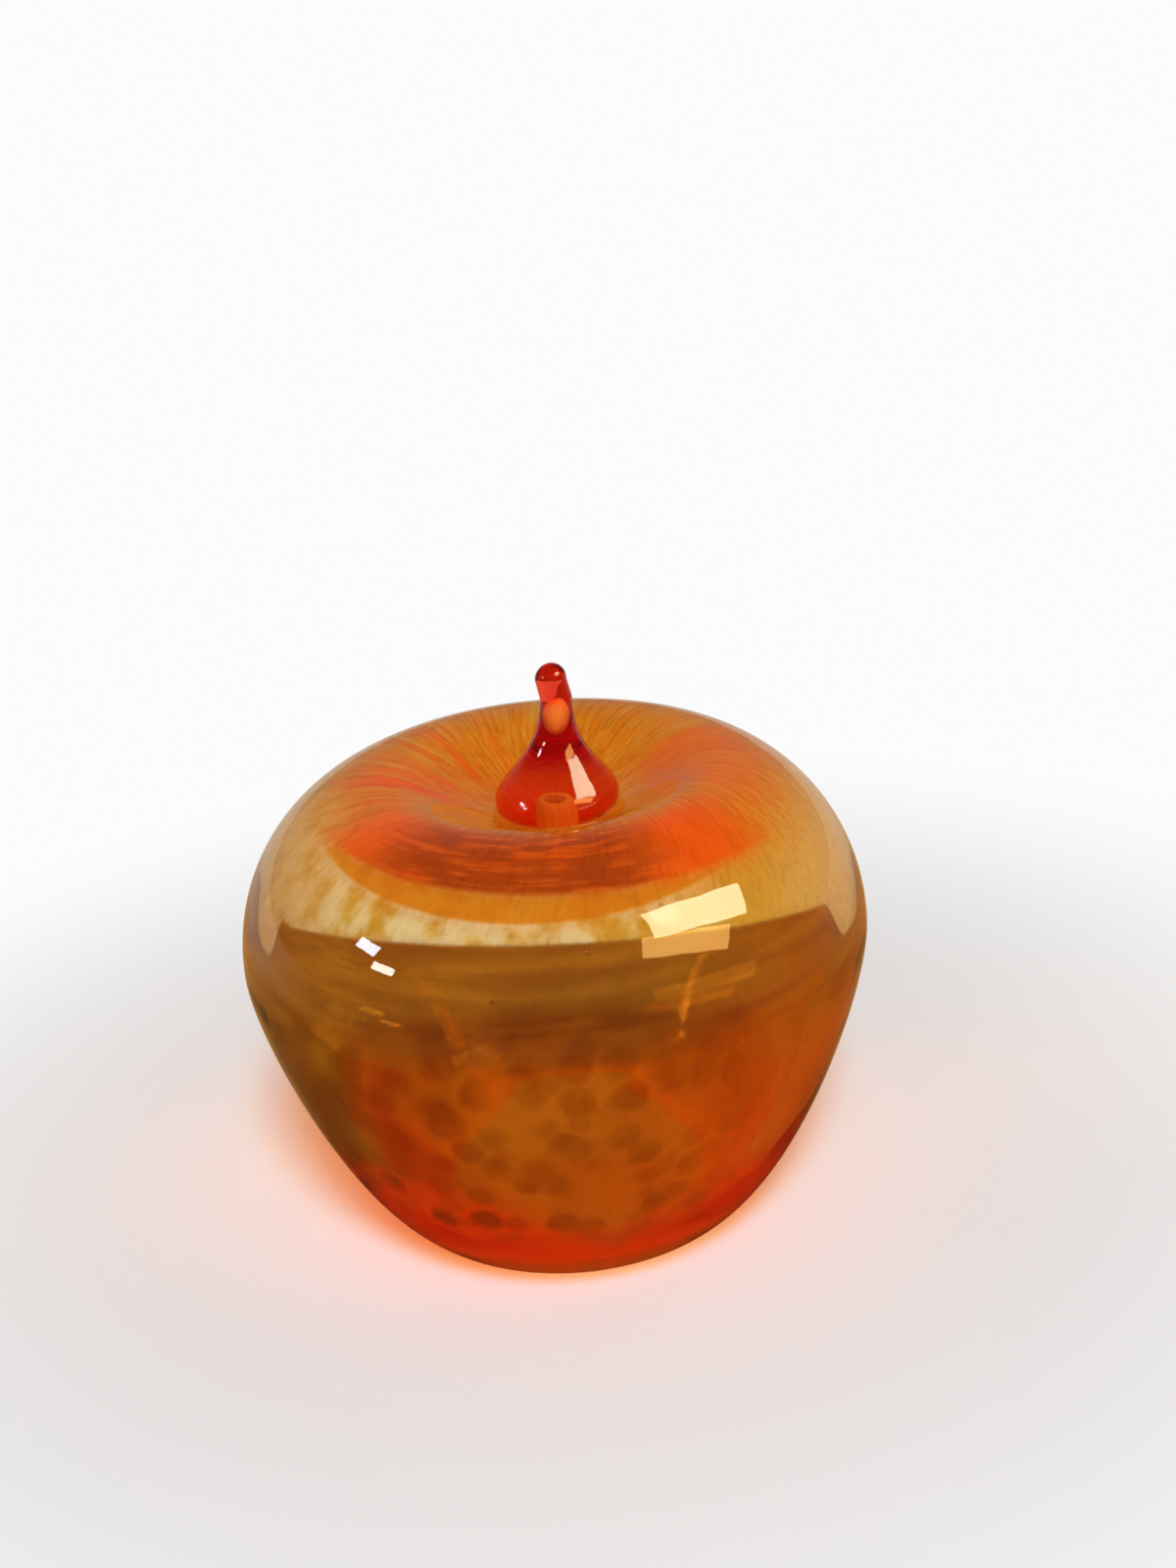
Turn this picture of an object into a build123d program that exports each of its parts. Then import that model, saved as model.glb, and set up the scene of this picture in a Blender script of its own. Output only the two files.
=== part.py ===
"""Hand-blown art glass apple: an inner bubble, its colour overlay, a clear casing and an applied stem.

Millimetres, +Z up. The origin is the centre of the flat base that the apple stands on.
"""
import os
from math import cos, radians, sin

from build123d import *
from build123d.topology import SkipClean

# Outside of the apple
body_radius = 50.0
body_height = 77.0
equator_height = 49.0
base_radius = 23.0
crest_radius = 27.0
dimple_depth = 8.0

# Reach of the curve at each turning point, along its tangent there
heel_reach = 13.5
flank_reach = 9.0
shoulder_reach = 17.0
crest_reach = 10.0
lip_reach = 8.0
floor_reach = 14.0

# Layers of glass, from the outside in
casing_wall = 2.0
overlay_wall = 1.5
bubble_side_wall = 1.8
bubble_base_wall = 3.5
bubble_crest_wall = 8.0
bubble_floor_wall = 4.0

# Air space: the radius of its flat bottom and of its crown
cavity_base_radius = 22.0
cavity_crest_radius = 25.0

# Cracked-off neck of the bubble, inside the foot of the stem: it narrows to this radius at its end
neck_radius = 1.8
neck_slope = 0.3
neck_height = 1.5
neck_sleeve_wall = 0.6
neck_bore_radius = 0.7

# Applied stem, measured up its own axis from the floor of the dimple
stem_shift = 2.0
stem_lean = 4.0
root_radius = 8.6
root_depth = 3.0
bulb_radius = 9.8
bulb_height = 3.0
bulb_reach = 4.0
shank_radius = 2.5
shank_height = 19.3
shank_reach = 10.0
tip_radius = 2.45
tip_rise = 3.1
tip_shift = 0.8

# Air bubble trapped in the shank
seed_radius = 1.4
seed_length = 6.4
seed_height = 16.2

dimple_height = body_height - dimple_depth
neck_run = dimple_height + neck_height - equator_height


def half_section(side, base, crest, floor, base_edge, crown):
    """Half of an apple-shaped section, inset from the outside at its side, base, crest and dimple floor."""
    side_radius = body_radius - side
    crest_height = body_height - crest
    floor_height = dimple_height - floor

    # Reaches shrink with the room that the inset leaves them
    lower_width = (side_radius - base_edge) / (body_radius - base_radius)
    lower_height = (equator_height - base) / equator_height
    upper_width = (side_radius - crown) / (body_radius - crest_radius)
    upper_height = (crest_height - equator_height) / (body_height - equator_height)
    dimple_width = crown / crest_radius

    # The curves aren't merged, so that flank, shoulder and dimple become faces of their own
    with SkipClean(), BuildLine(Plane.XZ) as outline:
        Line((0, floor_height), (0, base))
        Line((0, base), (base_edge, base))
        Bezier(
            (base_edge, base),
            (base_edge + heel_reach * lower_width, base),
            (side_radius, equator_height - flank_reach * lower_height),
            (side_radius, equator_height),
        )
        Bezier(
            (side_radius, equator_height),
            (side_radius, equator_height + shoulder_reach * upper_height),
            (crown + crest_reach * upper_width, crest_height),
            (crown, crest_height),
        )
        Bezier(
            (crown, crest_height),
            (crown - lip_reach * dimple_width, crest_height),
            (floor_reach * dimple_width, floor_height),
            (0, floor_height),
        )
    return Face(outline.wire())


def even_section(inset):
    """Half section that lies evenly below the outside of the apple."""
    return half_section(
        side=inset,
        base=inset,
        crest=inset,
        floor=inset,
        base_edge=base_radius,
        crown=crest_radius,
    )


def cavity_section():
    """Half section of the air space."""
    outer_walls = casing_wall + overlay_wall
    return half_section(
        side=outer_walls + bubble_side_wall,
        base=outer_walls + bubble_base_wall,
        crest=outer_walls + bubble_crest_wall,
        floor=outer_walls + bubble_floor_wall,
        base_edge=cavity_base_radius,
        crown=cavity_crest_radius,
    )


def neck_cone(radius):
    """Neck from the equator, inside the air space, that narrows to a radius at its cracked-off end."""
    cone = Cone(
        bottom_radius=radius + neck_slope * neck_run,
        top_radius=radius,
        height=neck_run,
        align=(Align.CENTER, Align.CENTER, Align.MIN),
        mode=Mode.PRIVATE,
    )
    return Pos(stem_shift, 0, equator_height) * cone


os.makedirs("parts", exist_ok=True)

# Half sections of the gathers, from the outside in
outside = even_section(0)
casing_inside = even_section(casing_wall)
overlay_inside = even_section(casing_wall + overlay_wall)
air_space = cavity_section()

# Clear casing: the outer gather, open only where the neck comes through
with BuildPart() as clear_casing:
    revolve(outside, axis=Axis.Z)
    revolve(casing_inside, axis=Axis.Z, mode=Mode.SUBTRACT)
    add(neck_cone(neck_radius), mode=Mode.SUBTRACT)
clear_casing.part.label = "clear_casing"
export_step(clear_casing.part, "parts/clear_casing.step")

# Colour overlay: a thin skin under the casing that runs up the neck as a sleeve
with BuildPart() as colour_overlay:
    revolve(casing_inside, axis=Axis.Z)
    add(neck_cone(neck_radius))
    revolve(overlay_inside, axis=Axis.Z, mode=Mode.SUBTRACT)
    add(neck_cone(neck_radius - neck_sleeve_wall), mode=Mode.SUBTRACT)
colour_overlay.part.label = "colour_overlay"
export_step(colour_overlay.part, "parts/colour_overlay.step")

# Inner bubble: the first gather, hollow, with the bore of its neck
with BuildPart() as inner_bubble:
    revolve(overlay_inside, axis=Axis.Z)
    add(neck_cone(neck_radius - neck_sleeve_wall))
    revolve(air_space, axis=Axis.Z, mode=Mode.SUBTRACT)
    with BuildSketch(Plane.XY.offset(equator_height)):
        with Locations((stem_shift, 0)):
            Circle(neck_bore_radius)
    extrude(amount=neck_run, mode=Mode.SUBTRACT)
inner_bubble.part.label = "inner_bubble"
export_step(inner_bubble.part, "parts/inner_bubble.step")

# The stem stands on a leaning plane whose origin is on the floor of the dimple
stem_plane = Plane(
    origin=(stem_shift, 0, dimple_height),
    x_dir=(cos(radians(stem_lean)), 0, -sin(radians(stem_lean))),
    z_dir=(0, -1, 0),
)
stem_axis = Axis(stem_plane.origin, stem_plane.y_dir)
tip_height = shank_height + tip_rise
tip_centre = stem_plane.from_local_coords((-tip_shift, tip_height))

# Stem: bulb, shank and bent tip, with a trapped bubble, seated on the dimple and over the neck
with BuildPart() as stem:
    with BuildSketch(stem_plane):
        with BuildLine():
            Line((0, shank_height), (0, -root_depth))
            Line((0, -root_depth), (root_radius, -root_depth))
            Bezier((root_radius, -root_depth), (bulb_radius, 0), (bulb_radius, bulb_height))
            Bezier(
                (bulb_radius, bulb_height),
                (bulb_radius, bulb_height + bulb_reach),
                (shank_radius, shank_height - shank_reach),
                (shank_radius, shank_height),
            )
            Line((shank_radius, shank_height), (0, shank_height))
        make_face()
    revolve(axis=stem_axis)
    with BuildSketch(Plane(stem_plane.from_local_coords((0, shank_height)), z_dir=stem_axis.direction)):
        Circle(shank_radius)
    with BuildSketch(Plane(tip_centre, z_dir=stem_axis.direction)):
        Circle(tip_radius)
    loft()
    with Locations(tip_centre):
        Sphere(tip_radius)
    with BuildSketch(stem_plane):
        with Locations((0, seed_height)):
            Ellipse(seed_radius, seed_length / 2)
            Rectangle(seed_radius, seed_length, align=(Align.MAX, Align.CENTER), mode=Mode.SUBTRACT)
    revolve(axis=stem_axis, mode=Mode.SUBTRACT)
    revolve(outside, axis=Axis.Z, mode=Mode.SUBTRACT)
    add(neck_cone(neck_radius), mode=Mode.SUBTRACT)
stem.part.label = "stem"
export_step(stem.part, "parts/stem.step")
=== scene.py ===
"""Hand-blown art glass apple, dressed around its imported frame.

Metres, +Z up. The origin is the centre of the flat base, and -Y is the side that the camera sees.
"""
import math

import bmesh
import bpy
from bpy.props import FloatProperty, FloatVectorProperty, IntProperty, PointerProperty
from mathutils import Matrix, Vector


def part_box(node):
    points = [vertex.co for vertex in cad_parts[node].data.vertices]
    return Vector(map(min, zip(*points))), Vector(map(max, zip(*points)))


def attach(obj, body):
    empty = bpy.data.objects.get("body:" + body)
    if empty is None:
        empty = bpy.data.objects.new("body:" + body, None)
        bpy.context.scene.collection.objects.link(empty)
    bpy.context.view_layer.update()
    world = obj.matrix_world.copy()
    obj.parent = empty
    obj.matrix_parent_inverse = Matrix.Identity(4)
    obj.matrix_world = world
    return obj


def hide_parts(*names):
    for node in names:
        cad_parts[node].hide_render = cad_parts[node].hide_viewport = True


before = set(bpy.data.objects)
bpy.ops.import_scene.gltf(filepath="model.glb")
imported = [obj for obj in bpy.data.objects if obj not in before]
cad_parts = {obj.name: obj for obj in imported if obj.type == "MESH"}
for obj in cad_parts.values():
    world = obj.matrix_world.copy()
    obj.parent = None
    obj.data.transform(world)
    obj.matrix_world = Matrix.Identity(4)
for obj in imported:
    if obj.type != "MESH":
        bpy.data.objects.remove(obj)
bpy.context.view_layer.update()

bl_info = {
    "name": "Art Glass Apple",
    "version": (1, 0, 0),
    "blender": (4, 5, 0),
    "location": "3D View > Sidebar > Glass Apple",
    "description": "Blows a cased glass apple with a colour layer and a pulled stem, and sets its stage",
    "category": "Object",
}

FUSED = "fused"
MM = 0.001
WHITE = (1.0, 1.0, 1.0)
GLASS_IOR = 1.5
casing_low, casing_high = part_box("clear_casing")
APPLE_MIDDLE = (casing_low + casing_high) / 2

# Handle of a quarter circle as a share of its radius, steps of a curve, and reach of a seam's merge
ROUND_HANDLE = 0.5523
CURVE_STEPS = 48
SEAM_REACH = 1e-6

# Sides and rings of the smaller turned surfaces
INNER_GRID = {"Segments": 160, "Rings": 110}
SLEEVE_GRID = {"Segments": 64, "Rings": 60}
SEED_GRID = {"Segments": 48, "Rings": 40}
CORE_GRID = {"Segments": 96, "Rings": 60}

# The hand's wobble sets in between two heights, and the crown's shift between two radii
WOBBLE_SCALE = 22.0
WOBBLE_SEED = 1.0
WOBBLE_RISE = (2 * MM, 20 * MM)
SHIFT_INSIDE = (40 * MM, 12 * MM)
SHIFT_DEPTH = 8 * MM
AIR_SEED = 7

# Ripples of hot-worked glass, and the grain on them
RIPPLE_DEPTH = 0.3 * MM
GRAIN_SCALE = 7.0
GRAIN_DEPTH = 0.06
GRAIN_DULL = (0.35, 0.75)

# Frost on the trapped bubble's wall
FROST_REACH = 0.2 * MM
FROST_COVER = 0.8

# Bands of colour in the layer: how they rise to the front, tilt, and drop at both flanks
BAND_FRONT = -22.0
BAND_RISE = 0.26
BAND_TILT = 0.05
FLANK_DROP = 5.5

# Streaks: their twist, how fast they change upwards, and the stretch of the drawn lines
STREAK_TWIST = 0.008
STREAK_LIFT = 0.012
DRAWN_STRETCH = (0.03, 0.03, 0.6)

# Frit spots, brush marks round the dimple, and how far the red of the heel sways and climbs
FRIT_SCALE = 0.17
BRUSH_LIFT = 0.3
BRUSH_MOTTLE = 0.5
HEEL_SWAY = 14.0
HEEL_CLIMBS = {"left_climb": 13.0, "right_climb": 5.0}

# Where colours lie, as products of fades. A fade names a field, in millimetres or as a share of a noise,
# or a side by its azimuth from the front towards +X in degrees, and the values where it starts and is full
COLOUR_MASKS = {
    "flank": (("beside", 39.5, 42.5), ("depth", -5.0, -18.0)),
    "olive_cloud": (("cloud", 0.35, 0.7),),
    # Painted shade: a darker band under the shoulder
    "painted_shade_band": (("band", 30.0, 50.0),),
    "drawn_lines": (("drawn", 0.46, 0.6), ("band", 36.0, 46.0)),
    # Painted light on the lower right flank
    "painted_right_light": ((75, 0.1, 0.9), ("height", 58.0, 35.0)),
    # The pale shoulder band is partly cream and peach colour and partly a painted reflection, whose crisp
    # lower edge is that of a reflected room
    "pale": (("band", 55.2, 56.1),),
    "cream_specks_and_reflection": (("mottle", 0.3, 0.62), ("across", 30.0, 10.0)),
    "peach_flanks_and_reflection": (("beside", 26.0, 42.0),),
    "crown": (("radius", 43.0, 29.0), ("height", 60.0, 66.0)),
    "gold_streaks": (("fine", 0.4, 0.68),),
    "left_patch": ((-110, 0.6, 0.95),),
    "right_patch": ((93, 0.65, 0.97),),
    "patch_ring": (("radius", 12.0, 19.0), ("radius", 38.0, 26.0), ("broad", 0.38, 0.6)),
    "lip": (("radius", 22.0, 28.0), ("radius", 37.6, 36.0)),
    "front": (("height", 62.0, 66.0), (-8, 0.32, 0.68)),
    "smear": ((-13, 0.68, 0.93), ("brush", 0.3, 0.55)),
    # The lip's edge carries a painted glint
    "edge": (("radius", 36.0, 37.6), ("past_ring", 0.3, -0.3)),
    "left_climb": ((-52, 0.5, 0.95),),
    "right_climb": ((60, 0.5, 0.95),),
    "heel": (("drip", 18.0, 8.0), (-10, -0.5, 0.3)),
    "base": (("radius", 33.0, 20.0), ("height", 14.0, 7.0)),
    "frit": (("height", 12.0, 20.0), ("band", 52.0, 40.0), (-28, 0.4, 0.85), ("cloud", 0.25, 0.42)),
    "spot": (("cell", 0.52, 0.36),),
    "net": (("cell", 0.52, 0.75),),
    "smoke": ((-62, 0.6, 0.95), ("height", 20.0, 29.0), ("height", 54.0, 36.0), ("broad", 0.36, 0.56)),
    "outside_dimple": (("radius", 14.0, 24.0),),
}

# Stage: where the floor fades and the mat's amber ends, in metres, and the cosines of the glows behind
FLOOR_FADE = (0.06, 0.2)
AMBER_MAT = (0.14, 0.27)
TENT_GLOW = (0.5, 0.95)
MAT_GLOW = (-0.1, 0.95)
RING_SIDES = 96


def length(name, description, millimetres):
    """Length property whose default is written in millimetres."""
    default = millimetres * MM
    return FloatProperty(name=name, description=description, default=default, unit="LENGTH", precision=5)


def angle(name, description, degrees):
    """Angle property whose default is written in degrees."""
    return FloatProperty(name=name, description=description, default=math.radians(degrees), subtype="ANGLE")


def amount(name, description, default):
    """Plain number."""
    return FloatProperty(name=name, description=description, default=default)


def count(name, description, default):
    """Number of sides or rings."""
    return IntProperty(name=name, description=description, default=default, min=24)


def location(name, description, default):
    """Place in metres."""
    return FloatVectorProperty(name=name, description=description, default=default, subtype="XYZ")


def colour(name, description, default):
    """Colour property in linear red, green and blue."""
    return FloatVectorProperty(
        name=name, description=description, default=default, subtype="COLOR", size=3, min=0, max=1
    )


class AppleShape(bpy.types.PropertyGroup):
    """Sizes of the blown body."""

    body_radius: length("Body Radius", "Widest radius of the apple", casing_high.x / MM)
    body_height: length("Body Height", "Height of the crest", casing_high.z / MM)
    equator_height: length("Equator Height", "Height of the widest ring", 49.0)
    base_radius: length("Base Radius", "Radius of the flat base", 23.0)
    crest_radius: length("Crest Radius", "Radius of the highest ring", 27.0)
    dimple_depth: length("Dimple Depth", "Depth of the dimple below the crest", 8.0)
    heel_reach: length("Heel Reach", "Reach of the curve at the edge of the base", 13.5)
    flank_reach: length("Flank Reach", "Reach of the curve below the equator", 9.0)
    shoulder_reach: length("Shoulder Reach", "Reach of the curve above the equator", 17.0)
    crest_reach: length("Crest Reach", "Reach of the curve outside the crest", 10.0)
    lip_reach: length("Lip Reach", "Reach of the curve inside the crest", 8.0)
    floor_reach: length("Floor Reach", "Reach of the curve at the dimple's floor", 14.0)
    casing_wall: length("Casing Wall", "Thickness of the clear outer gather", 2.0)
    overlay_wall: length("Overlay Wall", "Thickness of the colour layer", 1.5)
    bubble_side_wall: length("Bubble Side Wall", "Thickness of the inner bubble at its side", 1.8)
    bubble_base_wall: length("Bubble Base Wall", "Thickness of the inner bubble at its base", 3.5)
    bubble_crest_wall: length("Bubble Crest Wall", "Thickness of the inner bubble under the crest", 8.0)
    bubble_floor_wall: length("Bubble Floor Wall", "Thickness of the inner bubble under the dimple", 4.0)
    cavity_base_radius: length("Cavity Base Radius", "Radius of the air space's flat bottom", 22.0)
    cavity_crest_radius: length("Cavity Crest Radius", "Radius of the air space's crown", 25.0)
    neck_radius: length("Neck Radius", "Outer radius of the cracked-off neck at its end", 1.8)
    neck_slope: amount("Neck Slope", "How fast the neck widens downwards", 0.3)
    neck_height: length("Neck Height", "Height of the neck above the dimple's floor", 1.5)
    neck_sleeve_wall: length("Neck Sleeve Wall", "Thickness of the colour layer on the neck", 0.6)
    crown_shift: length("Crown Shift", "How far the dimple and the stem stand off the axis", 2.0)
    # The ring of the lip's painted glint, a gold crescent
    edge_shift: length("Edge Shift", "How far the gold crescent's ring stands to the front", 6.0)
    edge_radius: length("Edge Radius", "Radius of that ring", 33.9)
    hand_wobble: length("Hand Wobble", "How far the hand-shaped surface strays from a true turned one", 0.5)
    segments: count("Segments", "Sides of a turned surface", 256)
    rings: count("Rings", "Rings of a turned surface", 170)
    seed_density: amount("Seed Density", "Air seeds in a square metre", 1400.0)
    seed_small: length("Small Seed", "Radius of the smallest air seed", 0.12)
    seed_large: length("Large Seed", "Radius of the largest air seed", 0.35)
    seed_depth: length("Seed Depth", "Depth of the air seeds below the outside", 1.0)


class StemShape(bpy.types.PropertyGroup):
    """Sizes of the applied stem, measured up from the floor of the dimple."""

    root_radius: length("Root Radius", "Radius where the bulb meets the dimple", 9.3)
    root_depth: length("Root Depth", "Depth of the foot below the dimple's floor", 0.5)
    root_height: length("Root Height", "Height of the edge of the foot", 1.3)
    bulb_radius: length("Bulb Radius", "Widest radius of the bulb", 9.8)
    bulb_height: length("Bulb Height", "Height of the widest ring of the bulb", 3.0)
    bulb_reach: length("Bulb Reach", "Reach of the curve above the bulb", 4.0)
    shank_radius: length("Shank Radius", "Radius of the drawn-out shank", 2.5)
    shank_height: length("Shank Height", "Height of the shank's narrow end", 19.3)
    shank_reach: length("Shank Reach", "Reach of the curve below the shank", 10.0)
    tip_radius: length("Tip Radius", "Radius of the rounded tip", 2.45)
    tip_rise: length("Tip Rise", "Height of the tip's centre above the shank", 3.1)
    tip_shift: length("Tip Shift", "How far the tip bends back", 0.8)
    lean: angle("Lean", "Lean of the stem", 4.0)
    seed_radius: length("Seed Radius", "Radius of the trapped bubble", 1.4)
    seed_length: length("Seed Length", "Length of the trapped bubble", 6.4)
    seed_height: length("Seed Height", "Height of the trapped bubble's centre", 16.2)
    core_radius: length("Core Radius", "Widest radius of the clear core in the bulb", 8.5)
    core_height: length("Core Height", "Height of that widest ring", 3.6)
    core_rise: length("Core Rise", "How far the core rises above it", 6.0)
    core_floor: length("Core Floor", "Height of the core's underside", 0.3)
    segments: count("Segments", "Sides of the stem", 128)
    rings: count("Rings", "Rings of the stem", 120)


class GlassColours(bpy.types.PropertyGroup):
    """Colours of the glass, each as it tints light that passes one wall."""

    casing: colour("Casing", "Cast of the clear casing", (0.98, 0.9, 0.74))
    depth: colour("Depth", "What thick glass lets through", (0.95, 0.45, 0.12))
    depth_density: amount("Depth Density", "How fast thick glass deepens", 25.0)
    # Gold and pale gold also lay the painted glint along the lip's edge
    gold: colour("Gold", "Gold of the crown", (0.85, 0.54, 0.09))
    pale_gold: colour("Pale Gold", "Fine streaks on the crown", (0.84, 0.72, 0.28))
    # Cream, peach and pale gold also lay the shoulder's pale band, which is partly a painted reflection
    cream: colour("Cream", "Cream specks on the shoulder", (0.9, 0.93, 0.82))
    peach: colour("Peach", "Peach of the shoulder towards both flanks", (0.88, 0.8, 0.57))
    amber: colour("Amber", "Amber of the body", (0.75, 0.56, 0.16))
    # Olive also lays the painted shade of a darker band under the shoulder
    olive: colour("Olive", "Darker amber under the shoulder", (0.63, 0.43, 0.14))
    # Orange also lays the painted light on the right flank
    orange: colour("Orange", "Red-orange patches", (0.92, 0.4, 0.09))
    red: colour("Red", "Red of the heel", (1.0, 0.36, 0.11))
    honey: colour("Honey", "Honey of the base", (0.95, 0.64, 0.19))
    rust: colour("Rust", "Red-brown smear on the front lip", (0.64, 0.29, 0.09))
    brown: colour("Brown", "Brown frit spots", (0.5, 0.28, 0.08))
    shadow: colour("Shadow", "Tint of lamplight behind one face of the colour layer", (0.89, 0.74, 0.4))
    stem: colour("Stem", "What the red-orange stem lets through", (0.945, 0.27, 0.06))
    stem_density: amount("Stem Density", "How fast the stem's glass deepens", 840.0)
    frost: colour("Frost", "Pale frost on the wall of the trapped bubble", (0.76, 1.0, 0.25))


class StageSetup(bpy.types.PropertyGroup):
    """Camera, floor, surround and tent."""

    camera_place: location("Camera Place", "Where the camera stands", (0.0, -0.3193, 0.2062))
    camera_target: location("Camera Target", "Where the camera looks", (0.0072, 0.0, 0.0733))
    camera_roll: angle("Camera Roll", "Turn about the view", 4.7)
    camera_lens: amount("Lens", "Focal length in millimetres", 50.47)
    surround: amount("Surround", "How strongly the surround lights the apple", 0.2)
    haze_colour: colour("Haze", "Colour of the pale surround", (0.97, 0.97, 0.97))
    floor_colour: colour("Floor", "Colour of the floor", (0.93, 0.93, 0.93))
    floor_haze: amount("Floor Haze", "Haze on the floor seen through glass", 0.13)
    floor_radius: length("Floor Radius", "Reach of the floor", 6000.0)
    glow_colour: colour("Glow", "Colour of the glow behind the apple", (1.0, 0.92, 0.8))
    glow_strength: amount("Glow Strength", "Brightness of that glow", 0.18)
    glow_height: angle("Glow Height", "Height of that glow", 5.0)
    mat_colour: colour("Mat", "Colour of the mat beside the apple", (1.0, 0.5, 0.14))
    mat_strength: amount("Mat Strength", "Brightness of the glow below", 0.5)
    room_strength: amount("Room Strength", "Brightness of the rest of the tent", 0.06)
    tent_radius: length("Tent Radius", "Radius of the dark tent", 5000.0)
    tent_opening: length("Tent Opening", "Radius of the mat's hole for the apple", 27.0)
    tent_lift: length("Tent Lift", "Height of the mat over the floor", 0.5)


def rgba(tint):
    """Colour with full alpha."""
    return (*tint, 1.0)


class NodeWiring:
    """Adds nodes to a tree; each value is a constant or another node's output."""

    def __init__(self, tree):
        self.tree = tree

    def wire(self, socket, value):
        """Sets an input, or links it."""
        if isinstance(value, bpy.types.NodeSocket):
            self.tree.links.new(value, socket)
        else:
            socket.default_value = value

    def add(self, kind, inputs=None, **settings):
        """Node with its settings and inputs."""
        node = self.tree.nodes.new(kind)
        for name, value in settings.items():
            setattr(node, name, value)
        for key, value in (inputs or {}).items():
            self.wire(node.inputs[key], value)
        return node

    def math(self, operation, *values):
        """Result of a Math node."""
        return self.add("ShaderNodeMath", dict(enumerate(values)), operation=operation).outputs[0]

    def scaled(self, value, factor, offset):
        """Value times a factor, plus an offset."""
        return self.math("MULTIPLY_ADD", value, factor, offset)

    def chain(self, operation, first, *others):
        """Math nodes that take in one value after the other."""
        for value in others:
            first = self.math(operation, first, value)
        return first

    def product(self, *values):
        """Product of all values."""
        return self.chain("MULTIPLY", *values)

    def largest(self, *values):
        """Largest of all values."""
        return self.chain("MAXIMUM", *values)

    def fade(self, value, span):
        """0 before the span's start, 1 past its end and smooth between; its start may be the larger."""
        inputs = {"Value": value, "From Min": span[0], "From Max": span[1]}
        return self.add("ShaderNodeMapRange", inputs, interpolation_type="SMOOTHSTEP").outputs["Result"]

    def vector(self, operation, *values, **named):
        """Vector result of a Vector Math node."""
        inputs = {**dict(enumerate(values)), **named}
        return self.add("ShaderNodeVectorMath", inputs, operation=operation).outputs[0]

    def measure(self, operation, *vectors):
        """Single value that a Vector Math node finds, such as a length."""
        inputs = dict(enumerate(vectors))
        return self.add("ShaderNodeVectorMath", inputs, operation=operation).outputs["Value"]

    def split(self, vector):
        """Outputs X, Y and Z of a vector."""
        return self.add("ShaderNodeSeparateXYZ", {0: vector}).outputs

    def join(self, **parts):
        """Vector of some of X, Y and Z."""
        return self.add("ShaderNodeCombineXYZ", parts).outputs[0]

    def turn(self, vector, turn):
        """Vector turned about the Z axis."""
        inputs = {"Vector": vector, "Angle": turn}
        return self.add("ShaderNodeVectorRotate", inputs, rotation_type="Z_AXIS").outputs[0]

    def noise(self, vector, scale, detail=2.0, roughness=0.5):
        """Noise from 0 to 1."""
        inputs = {"Vector": vector, "Scale": scale, "Detail": detail, "Roughness": roughness}
        return self.add("ShaderNodeTexNoise", inputs).outputs[0]

    def mix(self, factor, *colours):
        """Blend of two colours."""
        node = self.add("ShaderNodeMix", {"Factor": factor}, data_type="RGBA")
        for key, tint in zip((6, 7), colours):
            self.wire(node.inputs[key], tint if isinstance(tint, bpy.types.NodeSocket) else rgba(tint))
        return node.outputs[2]

    def mix_shaders(self, factor, first, second):
        """Blend of two shaders."""
        return self.add("ShaderNodeMixShader", {0: factor, 1: first, 2: second}).outputs[0]

    def position(self):
        """Place of each point of a mesh."""
        return self.add("GeometryNodeInputPosition").outputs[0]

    def moved(self, geometry, **place):
        """Geometry with its points at a Position, or moved by an Offset."""
        return self.add("GeometryNodeSetPosition", {"Geometry": geometry, **place}).outputs[0]

    def finish(self, mesh, inward, material):
        """Ends a tree: faces turned inwards where asked, smooth, real, and of one material."""
        flipped = self.add("GeometryNodeFlipFaces", {"Mesh": mesh, "Selection": inward}).outputs[0]
        smooth = self.add("GeometryNodeSetShadeSmooth", {"Geometry": flipped}).outputs[0]
        real = self.add("GeometryNodeRealizeInstances", {"Geometry": smooth}).outputs[0]
        finished = self.add("GeometryNodeSetMaterial", {"Geometry": real, "Material": material}).outputs[0]
        self.add("NodeGroupOutput", {0: finished})


def new_group(name, kind, inputs, outputs):
    """Node group with named sockets, ready to be wired, and what it is given."""
    tree = bpy.data.node_groups.new(name, kind)
    for in_out, sockets in (("INPUT", inputs), ("OUTPUT", outputs)):
        for socket, value in sockets.items():
            tree.interface.new_socket(socket, in_out=in_out, socket_type="NodeSocket" + value)
    nodes = NodeWiring(tree)
    return nodes, nodes.add("NodeGroupInput").outputs


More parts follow.
